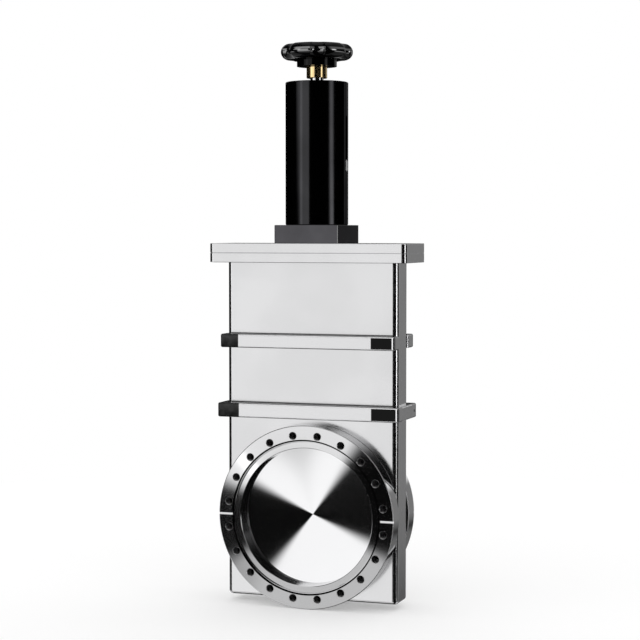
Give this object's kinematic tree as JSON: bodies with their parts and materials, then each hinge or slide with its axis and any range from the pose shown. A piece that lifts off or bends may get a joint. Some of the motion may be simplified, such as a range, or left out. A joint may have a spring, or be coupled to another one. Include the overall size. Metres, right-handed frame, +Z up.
{
  "type": "vacuum gate valve",
  "caption": "Hand-operated vacuum gate valve: a handwheel and spindle lift a gate clear of a round port between knife-edge flanges.",
  "frame": {"origin": "centre of the front port flange's bolt face, on the port's axis", "axes": "+Y through the port from the front flange to the rear one, +Z up along the spindle to the handwheel, +X to the right as seen from the front"},
  "size_m": [0.2276, 0.0794, 0.6193],
  "materials": {
    "body_steel": "fine satin, welded box",
    "plate_steel": "fine satin",
    "flange_steel": "turned, bright",
    "disc_steel": "turned in fine rings",
    "inner_steel": "milled",
    "bright_steel": "ground bright",
    "screw_steel": "plain steel screws",
    "spring_steel": "rolled strip",
    "black_anodised": "black anodised, smooth",
    "black_gloss": "moulded, high gloss",
    "brass": "turned, bright",
    "bronze": "machined bearing bronze",
    "seal_rubber": "smooth moulded rubber",
    "slide_plastic": "white low-friction plastic",
    "key_aluminium": "plain, light grey"
  },
  "bodies": {
    "valve_body": {"front_flange": "flange_steel", "rear_flange": "flange_steel", "gate_housing": "body_steel", "upper_rib_front": "body_steel", "upper_rib_rear": "body_steel", "lower_rib_front": "body_steel", "lower_rib_rear": "body_steel", "lower_rib_left": "body_steel", "lower_rib_right": "body_steel", "housing_flange": "plate_steel", "bonnet_seal": "seal_rubber", "bonnet_plate": "plate_steel", "bonnet_screws": "screw_steel", "seal_cartridge": "inner_steel", "shaft_seals": "seal_rubber", "cartridge_seal": "seal_rubber", "actuator_block": "black_anodised", "block_screws": "screw_steel", "lower_thrust_washer": "bright_steel", "upper_thrust_washer": "bright_steel", "bearing_retainer": "black_anodised", "retainer_screws": "screw_steel", "actuator_tube": "black_anodised", "tube_screws": "screw_steel", "tube_cap": "black_anodised", "cap_ring": "spring_steel", "upper_bush": "bronze", "guide_rail_left": "inner_steel", "guide_rail_right": "inner_steel"},
    "spindle_and_handwheel": {"spindle": "bright_steel", "brass_collar": "brass", "handwheel": "black_gloss", "hub_washer": "bright_steel", "hub_screw": "screw_steel"},
    "gate_carriage": {"carriage": "inner_steel", "carriage_nut": "bronze", "nut_screws": "screw_steel", "gate_disc": "disc_steel", "gate_seal": "seal_rubber", "counter_plate": "disc_steel", "slide_ring": "slide_plastic", "locking_balls": "bright_steel", "drive_pins": "bright_steel", "leaf_springs": "spring_steel", "roller_pins": "bright_steel"},
    "position_indicator": {"indicator_nut": "bronze", "indicator_key": "key_aluminium"},
    "upper_left_roller": {"upper_left_roller": "bright_steel"},
    "lower_left_roller": {"lower_left_roller": "bright_steel"},
    "upper_right_roller": {"upper_right_roller": "bright_steel"},
    "lower_right_roller": {"lower_right_roller": "bright_steel"}
  },
  "joints": [
    {"name": "handwheel_spin", "type": "hinge", "parent": "valve_body", "child": "spindle_and_handwheel", "pos_m": [0, 0.0397, 0], "axis": [0, 0, 1], "range_deg": [0, 5760]},
    {"name": "gate_slide", "type": "slide", "parent": "valve_body", "child": "gate_carriage", "axis": [0, 0, 1], "range_m": [0, 0.16]},
    {"name": "indicator_slide", "type": "slide", "parent": "valve_body", "child": "position_indicator", "axis": [0, 0, 1], "range_m": [0, 0.048]},
    {"name": "upper_left_roller_spin", "type": "hinge", "parent": "gate_carriage", "child": "upper_left_roller", "pos_m": [-0.0845, 0.0397, 0.06], "axis": [0, 1, 0], "range_deg": [-1530, 0]},
    {"name": "upper_right_roller_spin", "type": "hinge", "parent": "gate_carriage", "child": "upper_right_roller", "pos_m": [0.0845, 0.0397, 0.06], "axis": [0, 1, 0], "range_deg": [0, 1530]},
    {"name": "lower_left_roller_spin", "type": "hinge", "parent": "gate_carriage", "child": "lower_left_roller", "pos_m": [-0.0845, 0.0397, -0.06], "axis": [0, 1, 0], "range_deg": [-1530, 0]},
    {"name": "lower_right_roller_spin", "type": "hinge", "parent": "gate_carriage", "child": "lower_right_roller", "pos_m": [0.0845, 0.0397, -0.06], "axis": [0, 1, 0], "range_deg": [0, 1530]}
  ],
  "couplings": [
    {"joint": "handwheel_spin", "follows": "gate_slide", "rad_per_m": 628.32},
    {"joint": "indicator_slide", "follows": "gate_slide", "ratio": 0.3},
    {"joint": "upper_left_roller_spin", "follows": "gate_slide", "rad_per_m": -166.67},
    {"joint": "upper_right_roller_spin", "follows": "gate_slide", "rad_per_m": 166.67},
    {"joint": "lower_left_roller_spin", "follows": "gate_slide", "rad_per_m": -166.67},
    {"joint": "lower_right_roller_spin", "follows": "gate_slide", "rad_per_m": 166.67}
  ]
}
